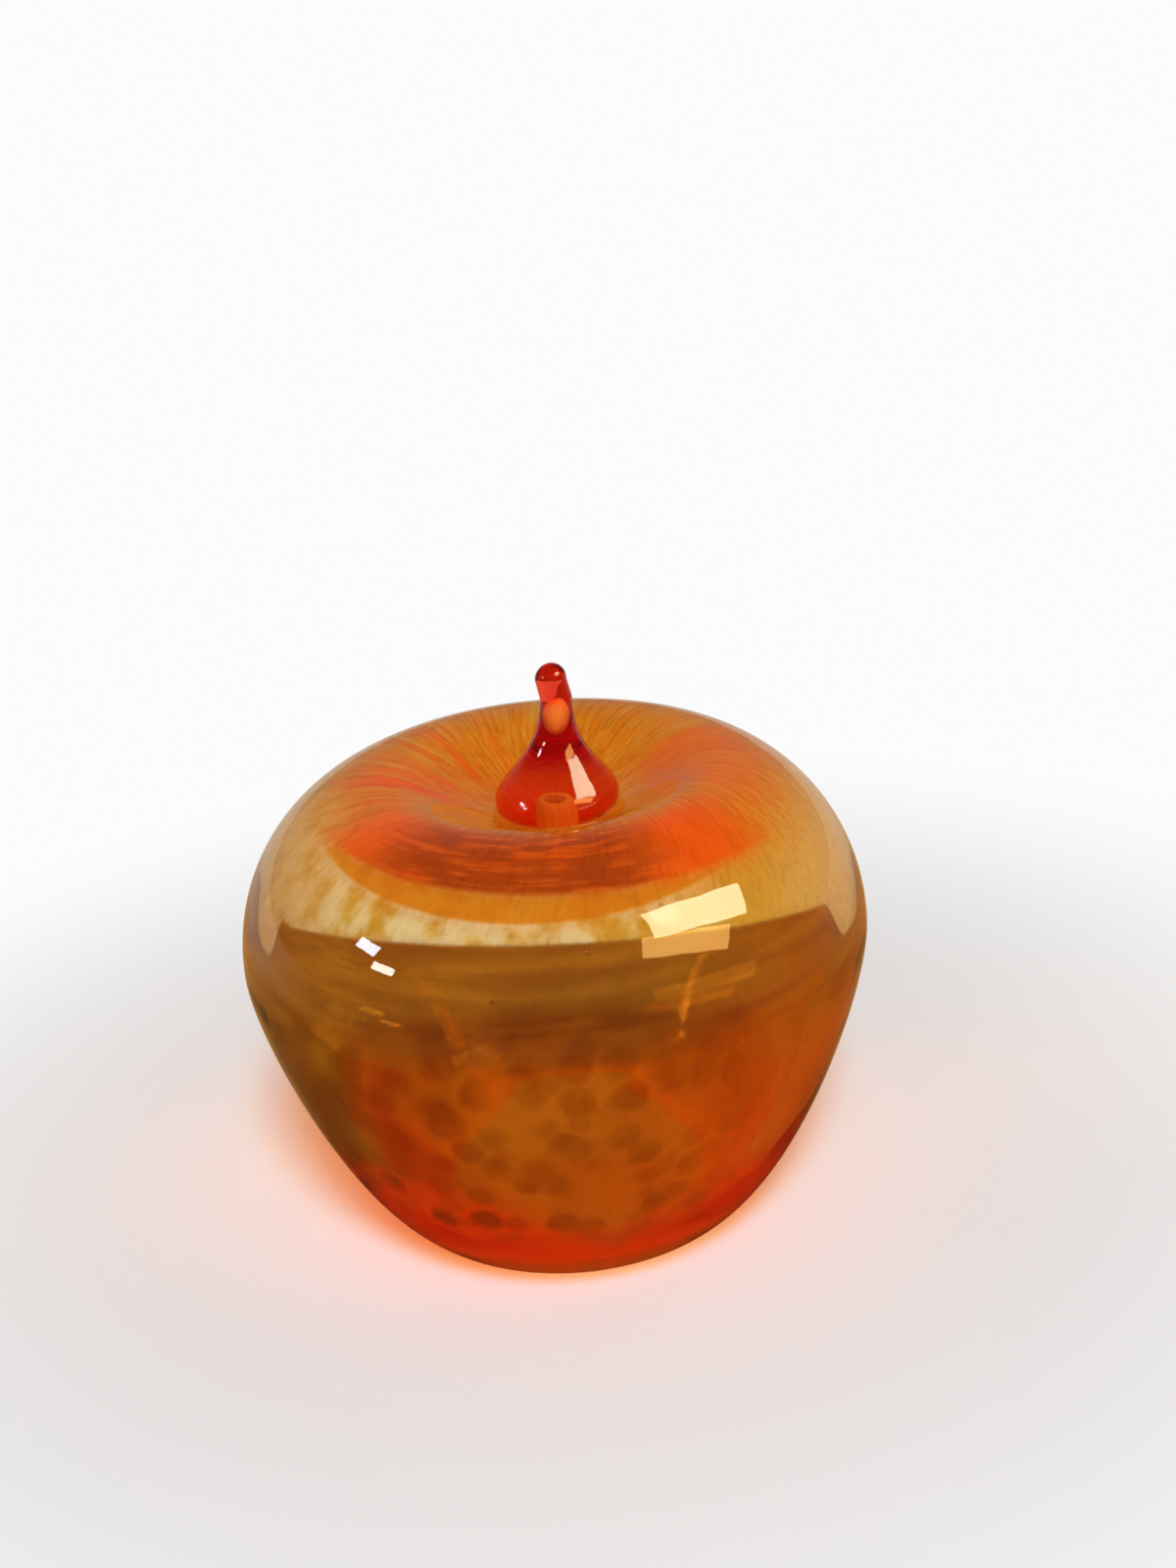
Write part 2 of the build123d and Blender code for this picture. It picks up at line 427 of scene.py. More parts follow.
def turned_surface_tree():
    """Geometry Nodes that turn a profile curve about the Z axis, then shift its crown and let it wobble."""
    nodes, given = new_group(
        "turned_surface",
        "GeometryNodeTree",
        {
            "Geometry": "Geometry",
            "Segments": "Int",
            "Rings": "Int",
            "Wobble": "Float",
            "Wobble Scale": "Float",
            "Seed": "Float",
            "Shift": "Float",
            "Shift From": "Float",
            "Shift To": "Float",
            "Inward": "Bool",
            "Material": "Material",
        },
        {"Geometry": "Geometry"},
    )

    # A square grid, from -0.5 to 0.5, is wrapped round the axis along the profile
    columns = nodes.math("ADD", given["Segments"], 1)
    grid = nodes.add(
        "GeometryNodeMeshGrid",
        {"Size X": 1.0, "Size Y": 1.0, "Vertices X": columns, "Vertices Y": given["Rings"]},
    ).outputs["Mesh"]
    square = nodes.split(nodes.position())
    turn = nodes.product(nodes.math("ADD", square["X"], 0.5), math.tau)
    along = nodes.math("ADD", square["Y"], 0.5)
    profile = nodes.add(
        "GeometryNodeSampleCurve",
        {"Curves": given["Geometry"], "Factor": along},
        mode="FACTOR",
        use_all_curves=True,
    ).outputs["Position"]
    surface = nodes.moved(grid, Position=nodes.turn(profile, turn))
    inputs = {"Geometry": surface, "Distance": SEAM_REACH}
    closed = nodes.add("GeometryNodeMergeByDistance", inputs).outputs[0]

    # The hand's wobble fades out towards the flat base
    point = nodes.position()
    inputs = {"Vector": point, "W": given["Seed"], "Scale": given["Wobble Scale"], "Detail": 1.0}
    noise = nodes.add("ShaderNodeTexNoise", inputs, noise_dimensions="4D").outputs[0]
    sway = nodes.math("SUBTRACT", noise, 0.5)
    push = nodes.product(sway, given["Wobble"], nodes.fade(nodes.split(point)["Z"], WOBBLE_RISE))
    normal = nodes.add("GeometryNodeInputNormal").outputs[0]
    wobbled = nodes.moved(closed, Offset=nodes.vector("SCALE", normal, Scale=push))

    # The crown moves sideways more, the nearer it is to the axis
    crown = nodes.split(nodes.position())
    radius = nodes.measure("LENGTH", nodes.join(X=crown["X"], Y=crown["Y"]))
    high_up = nodes.fade(crown["Z"], (given["Shift From"], given["Shift To"]))
    sideways = nodes.product(nodes.fade(radius, SHIFT_INSIDE), high_up, given["Shift"])
    shifted = nodes.moved(wobbled, Offset=nodes.join(X=sideways))
    nodes.finish(shifted, given["Inward"], given["Material"])
    return nodes.tree


def profile_curve(name, knots, closed):
    """Curve in the XZ plane through knots of a place and two handles, each a radius and a height."""
    data = bpy.data.curves.new(name, "CURVE")
    data.dimensions = "3D"
    data.resolution_u = CURVE_STEPS
    spline = data.splines.new("BEZIER")
    spline.bezier_points.add(len(knots) - 1)
    spline.use_cyclic_u = closed
    for point, knot in zip(spline.bezier_points, knots):
        point.handle_left_type = "FREE"
        point.handle_right_type = "FREE"
        point.co, point.handle_left, point.handle_right = [(radius, 0.0, height) for radius, height in knot]
    return data


def nodes_mesh(maker, tree, values):
    """Plain mesh that a Geometry Nodes tree makes on an object, which is then removed."""
    bpy.context.scene.collection.objects.link(maker)
    modifier = maker.modifiers.new(tree.name, "NODES")
    modifier.node_group = tree
    for item in tree.interface.items_tree:
        if item.in_out == "INPUT" and item.name in values:
            modifier[item.identifier] = values[item.name]
    depsgraph = bpy.context.evaluated_depsgraph_get()
    mesh = bpy.data.meshes.new_from_object(maker.evaluated_get(depsgraph), depsgraph=depsgraph)
    bpy.data.objects.remove(maker)
    return mesh


def turned_mesh(name, knots, material, closed=False, **values):
    """Plain mesh of a profile turned by the shared Geometry Nodes."""
    tree = bpy.data.node_groups.get("turned_surface") or turned_surface_tree()
    curve = profile_curve(name, knots, closed)
    mesh = nodes_mesh(bpy.data.objects.new(name, curve), tree, {"Material": material, **values})
    bpy.data.curves.remove(curve)
    return mesh


def air_seeds_tree():
    """Geometry Nodes that scatter small round air seeds below a surface."""
    nodes, given = new_group(
        "air_seeds",
        "GeometryNodeTree",
        {
            "Geometry": "Geometry",
            "Density": "Float",
            "Small": "Float",
            "Large": "Float",
            "Depth": "Float",
            "Seed": "Int",
            "Material": "Material",
        },
        {"Geometry": "Geometry"},
    )
    points = nodes.add(
        "GeometryNodeDistributePointsOnFaces",
        {"Mesh": given["Geometry"], "Density": given["Density"], "Seed": given["Seed"]},
    ).outputs
    inwards = nodes.math("MULTIPLY", given["Depth"], -1.0)
    sunk = nodes.moved(points["Points"], Offset=nodes.vector("SCALE", points["Normal"], Scale=inwards))
    ball = nodes.add("GeometryNodeMeshIcoSphere", {"Radius": 1.0, "Subdivisions": 3}).outputs["Mesh"]
    sizes = {2: given["Small"], 3: given["Large"], "Seed": given["Seed"]}
    size = nodes.add("FunctionNodeRandomValue", sizes).outputs[1]
    inputs = {"Points": sunk, "Instance": ball, "Scale": size}
    seeds = nodes.add("GeometryNodeInstanceOnPoints", inputs).outputs[0]
    nodes.finish(seeds, True, given["Material"])
    return nodes.tree


def linked_object(name, shape, material):
    """Object in the scene from a bmesh, which is freed."""
    data = bpy.data.meshes.new(name)
    shape.to_mesh(data)
    shape.free()
    data.materials.append(material)
    piece = bpy.data.objects.new(name, data)
    bpy.context.scene.collection.objects.link(piece)
    return piece


def joined_piece(name, meshes, material):
    """One object from several meshes, with smooth faces and one material."""
    shape = bmesh.new()
    for mesh in meshes:
        shape.from_mesh(mesh)
        bpy.data.meshes.remove(mesh)
    for face in shape.faces:
        face.smooth = True
        face.material_index = 0
    return linked_object(name, shape, material)


def dimple_height(shape):
    """Height of the dimple's floor."""
    return shape.body_height - shape.dimple_depth


def level_knot(radius, height, before, after):
    """Knot where a profile runs level, with the ways along the radius to its two handles."""
    return (radius, height), (radius + before, height), (radius + after, height)


def upright_knot(radius, height, below, above):
    """Knot where a profile runs upright, with the reaches of its two handles."""
    return (radius, height), (radius, height - below), (radius, height + above)


def body_knots(shape, side, base, crest, floor, base_edge, crown):
    """Knots of an apple-shaped profile, inset from the outside at its side, base, crest and dimple floor."""
    side_radius = shape.body_radius - side
    crest_height = shape.body_height - crest
    equator = shape.equator_height

    # Reaches shrink with the room that the inset leaves them
    lower_width = (side_radius - base_edge) / (shape.body_radius - shape.base_radius)
    upper_width = (side_radius - crown) / (shape.body_radius - shape.crest_radius)
    dimple_width = crown / shape.crest_radius
    flank = shape.flank_reach * (equator - base) / equator
    shoulder = shape.shoulder_reach * (crest_height - equator) / (shape.body_height - equator)
    return (
        level_knot(0, base, 0, base_edge / 3),
        level_knot(base_edge, base, -base_edge / 3, shape.heel_reach * lower_width),
        upright_knot(side_radius, equator, flank, shoulder),
        level_knot(crown, crest_height, shape.crest_reach * upper_width, -shape.lip_reach * dimple_width),
        level_knot(0, dimple_height(shape) - floor, shape.floor_reach * dimple_width, 0),
    )


def even_knots(shape, inset):
    """Knots of a profile that lies evenly below the outside of the apple."""
    return body_knots(shape, inset, inset, inset, inset, shape.base_radius, shape.crest_radius)


def cavity_knots(shape):
    """Knots of the air space's profile."""
    outer_walls = shape.casing_wall + shape.overlay_wall
    return body_knots(
        shape,
        outer_walls + shape.bubble_side_wall,
        outer_walls + shape.bubble_base_wall,
        outer_walls + shape.bubble_crest_wall,
        outer_walls + shape.bubble_floor_wall,
        shape.cavity_base_radius,
        shape.cavity_crest_radius,
    )


def sleeve_knots(shape):
    """Knots of the colour layer's sleeve round the cracked-off neck, as a closed ring."""
    outer, inner = shape.neck_radius, shape.neck_radius - shape.neck_sleeve_wall
    low = dimple_height(shape) - shape.casing_wall - shape.overlay_wall
    high = dimple_height(shape) + shape.neck_height
    flare = shape.neck_slope * (high - low)
    corners = ((outer + flare, low), (outer, high), (inner, high), (inner + flare, low))
    return [(corner, corner, corner) for corner in corners]


def crown_settings(shape):
    """Wobble and crown shift that the body's nested surfaces share."""
    return {
        "Wobble": shape.hand_wobble,
        "Wobble Scale": WOBBLE_SCALE,
        "Seed": WOBBLE_SEED,
        "Shift": shape.crown_shift,
        "Shift From": shape.equator_height,
        "Shift To": dimple_height(shape) - SHIFT_DEPTH,
    }


def new_material(name):
    """Material without nodes, ready to be wired."""
    material = bpy.data.materials.new(name)
    material.use_nodes = True
    material.node_tree.nodes.clear()
    return material, NodeWiring(material.node_tree)


def object_place(nodes):
    """Object coordinates in metres."""
    return nodes.add("ShaderNodeTexCoord").outputs["Object"]


def place_in_mm(nodes):
    """Object coordinates in millimetres."""
    return nodes.vector("SCALE", object_place(nodes), Scale=1 / MM)


def upright_axis(nodes, place, right, forward=0.0):
    """Distance in millimetres from an upright axis to the right or front, and the level way from it."""
    level = nodes.vector("MULTIPLY_ADD", place, (1.0, 1.0, 0.0), (-right / MM, forward / MM, 0.0))
    return nodes.measure("LENGTH", level), nodes.vector("NORMALIZE", level)


def hand_ripple_group():
    """Shader node group of long ripples with a fine grain, and the dullness that goes with them."""
    nodes, given = new_group(
        "hand_ripple",
        "ShaderNodeTree",
        {"Place": "Vector", "Scale": "Float", "Dullness": "Float"},
        {"Height": "Float", "Roughness": "Float"},
    )
    long_wave = nodes.noise(given["Place"], given["Scale"], detail=1.0)
    grain = nodes.noise(given["Place"], nodes.product(given["Scale"], GRAIN_SCALE))
    height = nodes.scaled(grain, GRAIN_DEPTH, long_wave)
    dull = nodes.product(nodes.fade(grain, GRAIN_DULL), given["Dullness"])
    nodes.add("NodeGroupOutput", {"Height": height, "Roughness": dull})
    return nodes.tree


def hand_ripple(nodes, place, scale, dullness, strength):
    """Ripples of hot-worked glass, from a shared node group: a bump normal and a faint roughness."""
    group = bpy.data.node_groups.get("hand_ripple") or hand_ripple_group()
    inputs = {"Place": place, "Scale": scale, "Dullness": dullness}
    ripple = nodes.add("ShaderNodeGroup", inputs, node_tree=group).outputs
    inputs = {"Height": ripple["Height"], "Strength": strength, "Distance": RIPPLE_DEPTH}
    return nodes.add("ShaderNodeBump", inputs).outputs[0], ripple["Roughness"]


def clear_glass(nodes, place, tint, ripple_scale):
    """Fire-polished glass with a plain tint and a hand's ripple."""
    normal, roughness = hand_ripple(nodes, place, ripple_scale, dullness=0.03, strength=0.25)
    inputs = {
        "Base Color": rgba(tint),
        "Roughness": roughness,
        "IOR": GLASS_IOR,
        "Transmission Weight": 1.0,
        "Normal": normal,
    }
    return nodes.add("ShaderNodeBsdfPrincipled", inputs).outputs[0]


def see_through_for_lamps(nodes, shader, tint):
    """Lets lamplight through a glass shader, tinted, as clear glass does."""
    clear = nodes.add("ShaderNodeBsdfTransparent", {"Color": rgba(tint)}).outputs[0]
    lamp_ray = nodes.add("ShaderNodeLightPath").outputs["Is Shadow Ray"]
    return nodes.mix_shaders(lamp_ray, shader, clear)


def fused_joint(nodes, shader, mask):
    """Makes glass clear where two gathers are fused, so that light crosses the joint unbent."""
    return nodes.mix_shaders(mask, shader, nodes.add("ShaderNodeBsdfTransparent").outputs[0])


def glass_output(nodes, surface, tint, density):
    """Ends a glass material whose colour deepens where it is thick."""
    depth = nodes.add("ShaderNodeVolumeAbsorption", {"Color": rgba(tint), "Density": density}).outputs[0]
    nodes.add("ShaderNodeOutputMaterial", {"Surface": surface, "Volume": depth})


def casing_material(colours, shape, stem):
    """Clear glass with an amber cast that deepens where it is thick."""
    material, nodes = new_material("fire_polished_casing")
    place = place_in_mm(nodes)
    glass = clear_glass(nodes, place, colours.casing, ripple_scale=0.12)
    radius, _ = upright_axis(nodes, place, shape.crown_shift)
    joint_height = (dimple_height(shape) - shape.casing_wall) / MM
    under_stem = nodes.product(
        nodes.math("LESS_THAN", radius, stem.root_radius / MM),
        nodes.math("GREATER_THAN", nodes.split(place)["Z"], joint_height),
    )
    surface = see_through_for_lamps(nodes, glass, colours.casing)
    glass_output(nodes, fused_joint(nodes, surface, under_stem), colours.depth, colours.depth_density)
    return material


class FritPainter(NodeWiring):
    """Wires the colour layer: each step lays one more colour over the tint so far."""

    def __init__(self, tree, colours, shape):
        super().__init__(tree)
        self.colours = colours
        self.place = place_in_mm(self)
        parts = self.split(self.place)
        across, depth, height = parts["X"], parts["Y"], parts["Z"]
        radius, self.away = upright_axis(self, self.place, shape.crown_shift)
        ring_radius, _ = upright_axis(self, self.place, 0.0, shape.edge_shift)
        self.fields = {
            "across": across,
            "beside": self.math("ABSOLUTE", across),
            "depth": depth,
            "height": height,
            "radius": radius,
            "past_ring": self.math("SUBTRACT", ring_radius, shape.edge_radius / MM),
        }

        # Bands rise towards the front, tilt a little and drop at both flanks
        risen = self.scaled(self.math("MINIMUM", depth, BAND_FRONT), BAND_RISE, height)
        tilted = self.scaled(across, BAND_TILT, risen)
        self.fields["band"] = self.scaled(self.mask("flank"), FLANK_DROP, tilted)

        # Streaks run along the meridians, with a slight twist from the maker's turning
        twisted = self.turn(self.away, self.product(radius, STREAK_TWIST))
        meridian = self.vector("ADD", twisted, self.join(Z=self.product(height, STREAK_LIFT)))
        stretched = self.vector("MULTIPLY", self.place, DRAWN_STRETCH)
        self.fields |= {
            "broad": self.noise(meridian, scale=4.0, detail=3.0, roughness=0.55),
            "fine": self.noise(meridian, scale=46.0, detail=5.0, roughness=0.65),
            "cloud": self.noise(self.place, scale=0.05, detail=3.0, roughness=0.55),
            "mottle": self.noise(self.place, scale=0.22),
            "drawn": self.noise(stretched, scale=1.0, detail=3.0),
        }

    def field(self, key):
        """Named field, or the cosine to a side's azimuth in degrees."""
        if key in self.fields:
            return self.fields[key]
        turn = math.radians(key)
        return self.measure("DOT_PRODUCT", self.away, (math.sin(turn), -math.cos(turn), 0.0))

    def mask(self, name):
        """Product of a mask's fades."""
        return self.product(*(self.fade(self.field(key), span) for key, *span in COLOUR_MASKS[name]))

    def lay(self, tint, *masks, share=1.0):
        """Lays a colour where all masks allow it; a share below 1 lets the colour below through."""
        self.tint = self.mix(self.product(*masks, share), self.tint, tint)

    def paint_body(self):
        """Amber, darker in clouds, with painted shade as a darker band under the shoulder, finely drawn-out
        brown lines, and painted light as orange on the right flank.
        """
        colours = self.colours
        self.tint = self.mix(self.mask("olive_cloud"), colours.amber, colours.olive)
        # Painted shade: a darker band under the shoulder
        self.lay(colours.olive, self.mask("painted_shade_band"))
        self.lay(colours.brown, self.mask("drawn_lines"), share=0.85)
        # Painted light: orange laid over the lower right flank to brighten it
        self.lay(colours.orange, self.mask("painted_right_light"), share=0.75)

    def paint_shoulder(self):
        """Pale shoulder, partly its own colour and partly a painted reflection: cream specks in front and
        peach towards the flanks.
        """
        colours = self.colours
        self.pale = self.mask("pale")
        self.specks = self.mask("cream_specks_and_reflection")
        shoulder = self.mix(self.specks, colours.pale_gold, colours.cream)
        self.lay(self.mix(self.mask("peach_flanks_and_reflection"), shoulder, colours.peach), self.pale)

    def paint_crown(self):
        """Gold streaked crown with red-orange patches left and, fainter, right."""
        colours = self.colours
        self.crown = self.mask("crown")
        self.lay(self.mix(self.mask("gold_streaks"), colours.gold, colours.pale_gold), self.crown)
        fainter = self.product(self.mask("right_patch"), 0.55)
        sides = self.largest(self.mask("left_patch"), fainter)
        self.lay(colours.orange, sides, self.mask("patch_ring"), share=0.9)

    def paint_lip(self):
        """Orange front lip with red-brown brush marks, and a painted glint below it: a gold crescent."""
        colours, mottle = self.colours, self.fields["mottle"]
        lift = self.join(Z=self.product(self.fields["radius"], BRUSH_LIFT))
        brush = self.noise(self.vector("ADD", self.away, lift), scale=3.0, detail=3.0)
        brush = self.math("SUBTRACT", brush, BRUSH_MOTTLE / 2)
        self.fields["brush"] = self.scaled(mottle, BRUSH_MOTTLE, brush)
        front = self.mask("front")
        lip = self.product(self.mask("lip"), front)
        self.lay(colours.orange, lip, share=0.85)
        self.lay(colours.rust, lip, self.mask("smear"), share=0.9)
        # Painted glint: a bright gold crescent along the lip's edge, with much powder for lamps to light
        self.edge = self.product(self.mask("edge"), front)
        paleness = self.product(mottle, 0.7)
        self.lay(self.mix(paleness, colours.gold, colours.pale_gold), self.edge)

    def paint_heel(self):
        """Honey base inside a heel that is red at the front and the sides."""
        sway = self.math("SUBTRACT", self.fields["broad"], 0.5)
        drip = self.scaled(sway, HEEL_SWAY, self.fields["height"])
        for side, climb in HEEL_CLIMBS.items():
            drip = self.scaled(self.mask(side), -climb, drip)
        self.fields["drip"] = drip
        self.heel = self.mask("heel")
        self.lay(self.colours.red, self.heel)
        self.lay(self.colours.honey, self.mask("base"))

    def paint_frit(self):
        """Round brown frit spots in a paler net at the front left, and a smoky patch beside them."""
        colours = self.colours
        inputs = {"Vector": self.place, "Scale": FRIT_SCALE, "Randomness": 1.0}
        cells = self.add("ShaderNodeTexVoronoi", inputs).outputs
        self.fields["cell"] = cells["Distance"]
        frit = self.mask("frit")
        darkness = self.scaled(self.split(cells["Color"])["X"], 0.4, 0.55)
        self.lay(colours.brown, frit, self.mask("spot"), darkness)
        self.lay(colours.gold, frit, self.mask("net"), share=0.35)
        self.lay(colours.brown, self.mask("smoke"), share=0.8)

    def paint_striations(self):
        """Fine striations all over."""
        shade = self.scaled(self.fields["fine"], 0.5, 0.75)
        self.tint = self.vector("SCALE", self.tint, Scale=self.math("MINIMUM", shade, 1.0))

    def powder_cover(self):
        """Powder that lamps light: most on the shoulder's band, partly a painted reflection, and on the
        lip's painted glint; least on the body.
        """
        on_shoulder = self.scaled(self.specks, 0.15, 0.58)
        on_crown = self.scaled(self.mask("outside_dimple"), 0.2, 0.3)
        on_glint, on_heel, on_body = 0.65, 0.3, 0.05
        return self.largest(
            self.product(self.crown, on_crown),
            self.product(self.pale, on_shoulder),
            self.product(self.edge, on_glint),
            self.product(self.heel, on_heel),
            on_body,
        )


def frit_material(colours, shape):
    """Colour layer: tinted glass, which doesn't bend light inside the wall, and powdered colour."""
    material, _ = new_material("streaked_frit")
    nodes = FritPainter(material.node_tree, colours, shape)
    nodes.paint_body()
    nodes.paint_shoulder()
    nodes.paint_crown()
    nodes.paint_lip()
    nodes.paint_heel()
    nodes.paint_frit()
    nodes.paint_striations()

    # Half of the powder's light is thrown back, and half of it glows through
    powder = nodes.vector("MULTIPLY", nodes.tint, nodes.tint)
    normal, _ = hand_ripple(nodes, nodes.place, scale=0.2, dullness=0.0, strength=0.1)
    lit = nodes.add("ShaderNodeBsdfDiffuse", {"Color": powder, "Roughness": 0.5, "Normal": normal})
    glowing = nodes.add("ShaderNodeBsdfTranslucent", {"Color": powder})
    grains = nodes.mix_shaders(0.5, lit.outputs[0], glowing.outputs[0])
    inputs = {"Base Color": nodes.tint, "Roughness": 0.0, "IOR": 1.0, "Transmission Weight": 1.0}
    glass = nodes.add("ShaderNodeBsdfPrincipled", inputs).outputs[0]
    layer = nodes.mix_shaders(nodes.powder_cover(), glass, grains)
    nodes.add("ShaderNodeOutputMaterial", {"Surface": see_through_for_lamps(nodes, layer, colours.shadow)})
    return material


def stem_material(colours, shape, stem):
    """Red-orange glass round a clear core, with pale frost on the wall of its trapped bubble."""
    material, nodes = new_material("red_orange_stem")
    place = place_in_mm(nodes)
    glass = clear_glass(nodes, place, WHITE, ripple_scale=0.3)

    # Height above the dimple's floor and distance from the leaning axis
    parts = nodes.split(place)
    height = nodes.math("SUBTRACT", parts["Z"], dimple_height(shape) / MM)
    upright = nodes.scaled(height, -math.tan(stem.lean), parts["X"])
    across = nodes.math("SUBTRACT", upright, shape.crown_shift / MM)
    radius = nodes.measure("LENGTH", nodes.join(X=across, Y=parts["Y"]))

    # The wall of the trapped bubble is frosted
    off_seed = nodes.math("ABSOLUTE", nodes.math("SUBTRACT", height, stem.seed_height / MM))
    in_seed = nodes.product(
        nodes.math("LESS_THAN", radius, (stem.seed_radius + FROST_REACH) / MM),
        nodes.math("LESS_THAN", off_seed, (stem.seed_length / 2 + FROST_REACH) / MM),
    )
    frost = nodes.add("ShaderNodeBsdfDiffuse", {"Color": rgba(colours.frost)}).outputs[0]
    wall = nodes.mix_shaders(nodes.product(in_seed, FROST_COVER), glass, frost)
    surface = see_through_for_lamps(nodes, wall, WHITE)

    # Light crosses the foot and the edge of the clear core unbent
    fused = nodes.add("ShaderNodeAttribute", attribute_name=FUSED).outputs["Fac"]
    surface = fused_joint(nodes, surface, nodes.math("GREATER_THAN", fused, 0.5))
    glass_output(nodes, surface, colours.stem, colours.stem_density)
    return material


class APPLE_OT_blow_wall(bpy.types.Operator):
    """Blow the clear wall: the outside of the apple and the air space in it"""

    bl_idname = "apple.blow_wall"
    bl_label = "Blow Wall"

    def execute(self, context):
        shape = context.scene.apple_shape
        material = casing_material(context.scene.apple_colours, shape, context.scene.apple_stem)
        settings = crown_settings(shape)
        outer_grid = {"Segments": shape.segments, "Rings": shape.rings}
        outside = turned_mesh("outside", even_knots(shape, 0), material, **outer_grid, **settings)
        air = turned_mesh("air", cavity_knots(shape), material, Inward=True, **INNER_GRID, **settings)
        seeds = nodes_mesh(
            bpy.data.objects.new("seeds", outside),
            air_seeds_tree(),
            {
                "Density": shape.seed_density,
                "Small": shape.seed_small,
                "Large": shape.seed_large,
                "Depth": shape.seed_depth,
                "Seed": AIR_SEED,
                "Material": material,
            },
        )
        piece = joined_piece("glass_wall", [outside, air, seeds], material)
        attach(piece, "root")
        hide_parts("clear_casing", "inner_bubble")
        return {"FINISHED"}


class APPLE_OT_lay_colour(bpy.types.Operator):
    """Lay the colour layer under the casing"""

    bl_idname = "apple.lay_colour"
    bl_label = "Lay Colour"

    def execute(self, context):
        shape = context.scene.apple_shape
        material = frit_material(context.scene.apple_colours, shape)
        settings = {**INNER_GRID, **crown_settings(shape)}
        inner_inset = shape.casing_wall + shape.overlay_wall
        outer = turned_mesh("outer", even_knots(shape, shape.casing_wall), material, **settings)
        inner = turned_mesh("inner", even_knots(shape, inner_inset), material, Inward=True, **settings)
        sleeve = turned_mesh("sleeve", sleeve_knots(shape), material, closed=True, **SLEEVE_GRID)
        for vertex in sleeve.vertices:
            vertex.co.x += shape.crown_shift
        piece = joined_piece("colour_layer", [outer, inner, sleeve], material)
        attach(piece, "root")
        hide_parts("colour_overlay")
        return {"FINISHED"}


def stem_knots(stem):
    """Knots of the stem's profile, from under its foot to its tip."""
    tip_height = stem.shank_height + stem.tip_rise
    tip_round = ROUND_HANDLE * stem.tip_radius
    foot_handle = (0.8 * stem.root_radius, 0.5 * stem.root_height)
    flare_handle = (stem.root_radius + 0.2 * MM, stem.root_height + 0.5 * MM)
    short = 1 * MM
    return (
        level_knot(0, -stem.root_depth, 0, stem.root_radius / 2),
        ((stem.root_radius, stem.root_height), foot_handle, flare_handle),
        upright_knot(stem.bulb_radius, stem.bulb_height, short, stem.bulb_reach),
        upright_knot(stem.shank_radius, stem.shank_height, stem.shank_reach, short),
        upright_knot(stem.tip_radius, tip_height, short, tip_round),
        level_knot(0, tip_height + stem.tip_radius, tip_round, 0),
    )


def seed_knots(stem):
    """Knots of the trapped bubble's profile."""
    half = stem.seed_length / 2
    wide, tall = ROUND_HANDLE * stem.seed_radius, ROUND_HANDLE * half
    return (
        level_knot(0, stem.seed_height - half, 0, wide),
        upright_knot(stem.seed_radius, stem.seed_height, tall, tall),
        level_knot(0, stem.seed_height + half, wide, 0),
    )


def core_knots(stem):
    """Knots of the profile of the bulb's clear core, whose lower edge is nearly square."""
    wide, tall = ROUND_HANDLE * stem.core_radius, ROUND_HANDLE * stem.core_rise
    square = 0.9
    corner = square * (stem.core_height - stem.core_floor)
    return (
        level_knot(0, stem.core_floor, 0, square * stem.core_radius),
        upright_knot(stem.core_radius, stem.core_height, corner, tall),
        level_knot(0, stem.core_height + stem.core_rise, wide, 0),
    )


def mark_fused(mesh, top):
    """Marks the vertices below a height as a joint that is fused into its neighbour."""
    marks = mesh.attributes.new(FUSED, "FLOAT", "POINT").data
    for vertex, mark in zip(mesh.vertices, marks):
        mark.value = float(vertex.co.z < top)


class APPLE_OT_pull_stem(bpy.types.Operator):
    """Pull the stem out of the dimple"""

    bl_idname = "apple.pull_stem"
    bl_label = "Pull Stem"

    def execute(self, context):
        shape = context.scene.apple_shape
        stem = context.scene.apple_stem
        material = stem_material(context.scene.apple_colours, shape, stem)
        glass = turned_mesh("glass", stem_knots(stem), material, Segments=stem.segments, Rings=stem.rings)
        bubble = turned_mesh("bubble", seed_knots(stem), material, Inward=True, **SEED_GRID)
        core = turned_mesh("core", core_knots(stem), material, Inward=True, **CORE_GRID)
        mark_fused(glass, stem.root_height)
        mark_fused(bubble, 0.0)
        mark_fused(core, stem.seed_height)
        piece = joined_piece("pulled_stem", [glass, bubble, core], material)

        # The turned stem leans, its tip bends back, and it rises to the dimple's floor
        slope = math.tan(stem.lean)
        for vertex in piece.data.vertices:
            rise = vertex.co.z
            bend = max(0.0, rise - stem.shank_height) / stem.tip_rise
            vertex.co.x += shape.crown_shift + slope * rise - stem.tip_shift * min(1.0, bend)
            vertex.co.z += dimple_height(shape)
        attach(piece, "root")
        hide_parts("stem")
        return {"FINISHED"}


def sky_place(azimuth, elevation, distance):
    """Place seen from the apple's middle, by degrees from the front towards +X and degrees up."""
    turn, rise = math.radians(azimuth), math.radians(elevation)
    level = math.cos(rise)
    way = Vector((level * math.sin(turn), -level * math.cos(turn), math.sin(rise)))
    return APPLE_MIDDLE + distance * way


def set_camera(scene, setup):
    """Camera at the photograph's angle."""
    place = Vector(setup.camera_place)
    forward = (Vector(setup.camera_target) - place).normalized()
    level = forward.cross(Vector((0, 0, 1))).normalized()
    upright = level.cross(forward)
    cosine, sine = math.cos(setup.camera_roll), math.sin(setup.camera_roll)
    right = cosine * level - sine * upright
    up = sine * level + cosine * upright
    data = bpy.data.cameras.new("camera")
    data.sensor_width = 36.0
    data.lens = setup.camera_lens
    camera = bpy.data.objects.new("camera", data)
    camera.matrix_world = Matrix.Translation(place) @ Matrix((right, up, -forward)).transposed().to_4x4()
    scene.collection.objects.link(camera)
    scene.camera = camera


